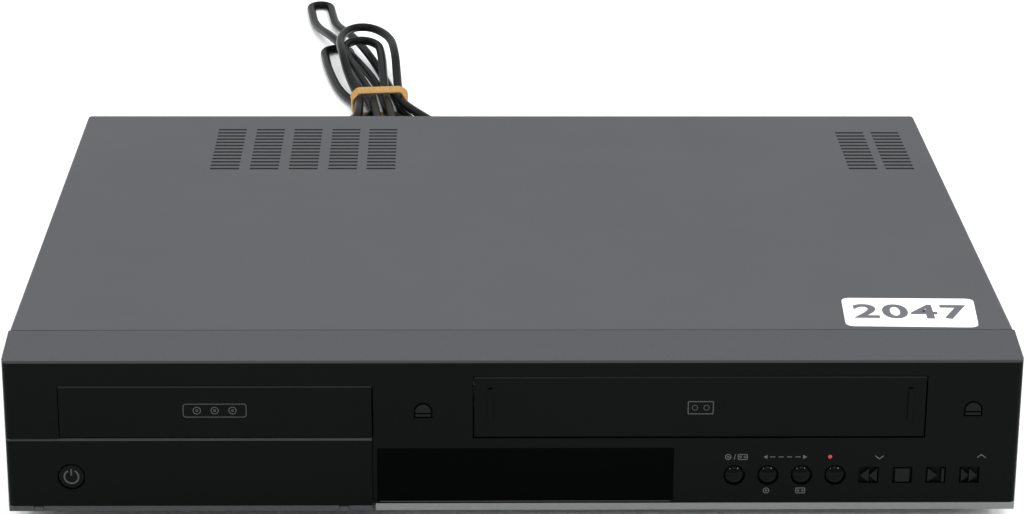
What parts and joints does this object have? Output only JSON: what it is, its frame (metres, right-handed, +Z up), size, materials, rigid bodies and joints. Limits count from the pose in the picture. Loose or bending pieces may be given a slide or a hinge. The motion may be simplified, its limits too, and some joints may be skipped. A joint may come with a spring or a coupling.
{
  "type": "dvd vcr combo player",
  "caption": "Flat disc and tape recorder with a sliding disc tray, a tape flap, a drop-down jack door, sprung keys, a slotted cover and a bundled mains cord.",
  "frame": {"origin": "middle of the case on the surface it stands on, under its feet", "axes": "+Z up, +X to the right as seen from the front, +Y to the back"},
  "size_m": [0.43, 0.8388, 0.0813],
  "materials": {
    "front_black": "polished, very dark green-black",
    "window": "polished smoked acrylic",
    "display_glass": "dark display glass",
    "board": "lacquered circuit board",
    "key_black": "polished",
    "zinc_steel": "zinc-plated sheet",
    "cover_grey": "satin, fine texture",
    "rear_black": "satin",
    "foot_rubber": "matt",
    "bare_aluminium": "machined",
    "tin_steel": "tinned sheet",
    "socket_black": "moulded",
    "moulding_black": "moulded",
    "tray_grey": "moulded, fine texture",
    "gear_white": "moulded",
    "cord_black": "satin",
    "band_tan": "natural rubber, matt",
    "plug_black": "satin"
  },
  "bodies": {
    "case": {"bottom_chassis": "zinc_steel", "carriage_frame": "zinc_steel", "clamp_bridge": "zinc_steel", "cord_band": "band_tan", "cord_hank": "cord_black", "deck_plate": "zinc_steel", "display_module": "display_glass", "display_window": "window", "drive_plate": "zinc_steel", "drum_base": "bare_aluminium", "feet": "foot_rubber", "front_jacks": "board", "front_panel": "front_black", "heat_sink": "bare_aluminium", "key_board": "board", "loader_frame": "moulding_black", "loading_motor": "tin_steel", "main_board": "board", "plug": "plug_black", "power_board": "board", "power_cord": "cord_black", "rear_panel": "rear_black", "socket_board": "board", "strain_relief": "cord_black", "tape_heads": "tin_steel", "top_cover": "cover_grey", "tuner": "tin_steel", "wide_socket_1": "socket_black", "wide_socket_2": "socket_black"},
    "jack_door": {"jack_door": "front_black"},
    "tray": {"disc_tray": "tray_grey", "tray_door": "front_black"},
    "tray_pinion": {"tray_pinion": "gear_white"},
    "cassette_flap": {"cassette_flap": "front_black"},
    "disc_clamper": {"disc_clamper": "gear_white"},
    "turntable": {"turntable": "socket_black"},
    "pickup": {"pickup_sled": "socket_black"},
    "head_drum": {"head_drum": "bare_aluminium"},
    "capstan": {"capstan": "tin_steel"},
    "pinch_roller": {"pinch_roller": "foot_rubber"},
    "basket": {"cassette_basket": "zinc_steel"},
    "supply_reel": {"supply_reel": "moulding_black"},
    "takeup_reel": {"takeup_reel": "moulding_black"},
    "power_button": {"power_button": "key_black"},
    "key_source": {"key_source": "key_black"},
    "key_copy_left": {"key_copy_left": "key_black"},
    "key_copy_right": {"key_copy_right": "key_black"},
    "key_record": {"key_record": "key_black"},
    "key_rewind": {"key_rewind": "key_black"},
    "key_stop": {"key_stop": "key_black"},
    "key_play": {"key_play": "key_black"},
    "key_forward": {"key_forward": "key_black"},
    "disc_eject_key": {"disc_eject_key": "key_black"},
    "tape_eject_key": {"tape_eject_key": "key_black"}
  },
  "joints": [
    {"name": "jack_door_hinge", "type": "hinge", "parent": "case", "child": "jack_door", "pos_m": [0, -0.16915, 0.00995], "axis": [1, 0, 0], "range_deg": [0, 90]},
    {"name": "tray_slide", "type": "slide", "parent": "case", "child": "tray", "axis": [0, -1, 0], "range_m": [0, 0.148]},
    {"name": "pinion_spin", "type": "hinge", "parent": "case", "child": "tray_pinion", "pos_m": [-0.14479, -0.1404, 0.045], "axis": [0, 0, 1], "range_deg": [-1, 947.2]},
    {"name": "flap_hinge", "type": "hinge", "parent": "case", "child": "cassette_flap", "pos_m": [0.07871, -0.168, 0.0691], "axis": [1, 0, 0], "range_deg": [0, 84], "stiffness_Nm_per_rad": 0.02},
    {"name": "clamper_spin", "type": "hinge", "parent": "case", "child": "disc_clamper", "pos_m": [-0.12579, -0.0984, 0.058], "axis": [0, 0, 1], "continuous": true},
    {"name": "turntable_spin", "type": "hinge", "parent": "case", "child": "turntable", "pos_m": [-0.12579, -0.0984, 0.058], "axis": [0, 0, 1], "continuous": true},
    {"name": "pickup_slide", "type": "slide", "parent": "case", "child": "pickup", "axis": [0, 1, 0], "range_m": [0, 0.026]},
    {"name": "drum_spin", "type": "hinge", "parent": "case", "child": "head_drum", "pos_m": [0.07871, 0.0136, 0.0225], "axis": [0, -0.1045, 0.9945], "continuous": true},
    {"name": "capstan_spin", "type": "hinge", "parent": "case", "child": "capstan", "pos_m": [0.13801, -0.0104, 0.0225], "axis": [0, 0, 1], "continuous": true},
    {"name": "pinch_swing", "type": "hinge", "parent": "case", "child": "pinch_roller", "pos_m": [0.15801, 0.0016, 0.0305], "axis": [0, 0, 1], "range_deg": [-10, 9]},
    {"name": "basket_lift", "type": "slide", "parent": "case", "child": "basket", "axis": [0, 0, -1], "range_m": [0, 0.015]},
    {"name": "supply_spin", "type": "hinge", "parent": "case", "child": "supply_reel", "pos_m": [0.03271, -0.0864, 0.0225], "axis": [0, 0, 1], "continuous": true},
    {"name": "takeup_spin", "type": "hinge", "parent": "case", "child": "takeup_reel", "pos_m": [0.12471, -0.0864, 0.0225], "axis": [0, 0, 1], "continuous": true},
    {"name": "power_button_press", "type": "slide", "parent": "case", "child": "power_button", "axis": [0, 1, 0], "range_m": [0, 0.0007], "stiffness_N_per_m": 300},
    {"name": "key_source_press", "type": "slide", "parent": "case", "child": "key_source", "axis": [0, 1, 0], "range_m": [0, 0.0007], "stiffness_N_per_m": 300},
    {"name": "key_copy_left_press", "type": "slide", "parent": "case", "child": "key_copy_left", "axis": [0, 1, 0], "range_m": [0, 0.0007], "stiffness_N_per_m": 300},
    {"name": "key_copy_right_press", "type": "slide", "parent": "case", "child": "key_copy_right", "axis": [0, 1, 0], "range_m": [0, 0.0007], "stiffness_N_per_m": 300},
    {"name": "key_record_press", "type": "slide", "parent": "case", "child": "key_record", "axis": [0, 1, 0], "range_m": [0, 0.0007], "stiffness_N_per_m": 300},
    {"name": "key_rewind_press", "type": "slide", "parent": "case", "child": "key_rewind", "axis": [0, 1, 0], "range_m": [0, 0.0007], "stiffness_N_per_m": 300},
    {"name": "key_stop_press", "type": "slide", "parent": "case", "child": "key_stop", "axis": [0, 1, 0], "range_m": [0, 0.0007], "stiffness_N_per_m": 300},
    {"name": "key_play_press", "type": "slide", "parent": "case", "child": "key_play", "axis": [0, 1, 0], "range_m": [0, 0.0007], "stiffness_N_per_m": 300},
    {"name": "key_forward_press", "type": "slide", "parent": "case", "child": "key_forward", "axis": [0, 1, 0], "range_m": [0, 0.0007], "stiffness_N_per_m": 300},
    {"name": "disc_eject_key_press", "type": "slide", "parent": "case", "child": "disc_eject_key", "axis": [0, 1, 0], "range_m": [0, 0.0007], "stiffness_N_per_m": 300},
    {"name": "tape_eject_key_press", "type": "slide", "parent": "case", "child": "tape_eject_key", "axis": [0, 1, 0], "range_m": [0, 0.0007], "stiffness_N_per_m": 300}
  ],
  "couplings": [
    {"joint": "pinion_spin", "follows": "tray_slide", "rad_per_m": 111.11}
  ]
}
